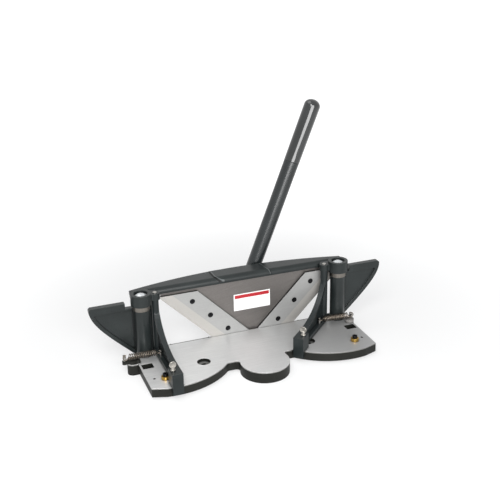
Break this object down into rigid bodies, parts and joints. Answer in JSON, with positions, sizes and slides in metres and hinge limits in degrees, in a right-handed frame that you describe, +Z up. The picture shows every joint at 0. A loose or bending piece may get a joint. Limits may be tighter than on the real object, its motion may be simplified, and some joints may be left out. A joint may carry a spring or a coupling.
{
  "type": "mitre guillotine",
  "caption": "Bench mitre guillotine: a lever slides a carriage with 45 degree blades behind a small table with swinging fences.",
  "frame": {"origin": "on the bench, midway between the axes of the two posts", "axes": "+X to the right along the blades' travel, +Y to the rear, towards the lever, +Z up"},
  "size_m": [0.61, 0.264, 0.4726],
  "materials": {
    "ground_casting": "ground top, painted sides",
    "dark_paint": "semi-gloss dark green-grey paint on cast iron",
    "fence_paint": "semi-gloss dark green-grey paint, ground edges",
    "bare_steel": "turned",
    "black_oxide": "black oxide",
    "cap_metal": "dark satin",
    "brass": "turned",
    "bronze": "machined",
    "carriage_iron": "ground",
    "blade_steel": "ground bright",
    "gear_steel": "machined, oiled",
    "plate_enamel": "white enamel with a plain coloured band",
    "lever_steel": "dark satin",
    "grip_rubber": "smooth",
    "nickel": "nickel plated",
    "spring_steel": "bronzed"
  },
  "bodies": {
    "base": {"base_table": "ground_casting", "side_post_left": "dark_paint", "side_post_right": "dark_paint", "post_rings": "bare_steel", "post_bolts": "black_oxide", "top_beam": "dark_paint", "cap_bolts": "cap_metal", "fence_pivot_pins": "bare_steel", "brass_stops": "brass", "stop_screws": "black_oxide", "spring_anchors": "bare_steel", "lever_bracket": "dark_paint", "bracket_screws": "black_oxide", "pivot_stud": "bare_steel", "pivot_washer": "bare_steel", "pivot_nut": "bare_steel", "gib_strip": "bronze", "gib_screws": "black_oxide", "return_spring_left": "spring_steel", "return_spring_right": "spring_steel"},
    "carriage": {"blade_carriage": "carriage_iron", "blade_left": "blade_steel", "blade_right": "blade_steel", "blade_screws": "black_oxide", "gear_rack": "gear_steel", "rack_screws": "black_oxide", "blank_plate": "plate_enamel"},
    "lever": {"gear_quadrant": "gear_steel", "lever_hub": "dark_paint", "hub_screws": "black_oxide", "pivot_bush": "bronze", "lever_bar": "lever_steel", "lever_grip": "grip_rubber"},
    "left_fence": {"fence_left": "fence_paint", "fence_hook_left": "bare_steel"},
    "right_fence": {"fence_right": "fence_paint", "fence_hook_right": "bare_steel"},
    "left_thumbscrew": {"thumbscrew_left": "nickel"},
    "right_thumbscrew": {"thumbscrew_right": "nickel"}
  },
  "joints": [
    {"name": "lever_swing", "type": "hinge", "parent": "base", "child": "lever", "pos_m": [0, 0.0755, 0.026], "axis": [0, 1, 0], "range_deg": [-64.1, 33.2]},
    {"name": "carriage_slide", "type": "slide", "parent": "base", "child": "carriage", "axis": [1, 0, 0], "range_m": [-0.1119, 0.0581]},
    {"name": "left_fence_swing", "type": "hinge", "parent": "base", "child": "left_fence", "pos_m": [-0.1775, 0.005, 0.0225], "axis": [0, 0, 1], "range_deg": [0, 45], "deforming": ["return_spring_left"]},
    {"name": "right_fence_swing", "type": "hinge", "parent": "base", "child": "right_fence", "pos_m": [0.1775, 0.005, 0.0225], "axis": [0, 0, 1], "range_deg": [0, 45], "deforming": ["return_spring_right"]},
    {"name": "left_thumbscrew_turn", "type": "hinge", "parent": "left_fence", "child": "left_thumbscrew", "pos_m": [-0.1865, -0.135, 0.05], "axis": [0, 0, 1], "range_deg": [0, 720]},
    {"name": "right_thumbscrew_turn", "type": "hinge", "parent": "right_fence", "child": "right_thumbscrew", "pos_m": [0.08487, -0.10036, 0.05], "axis": [0, 0, 1], "range_deg": [0, 720]}
  ],
  "couplings": [
    {"joint": "carriage_slide", "follows": "lever_swing", "m_per_rad": 0.1}
  ]
}
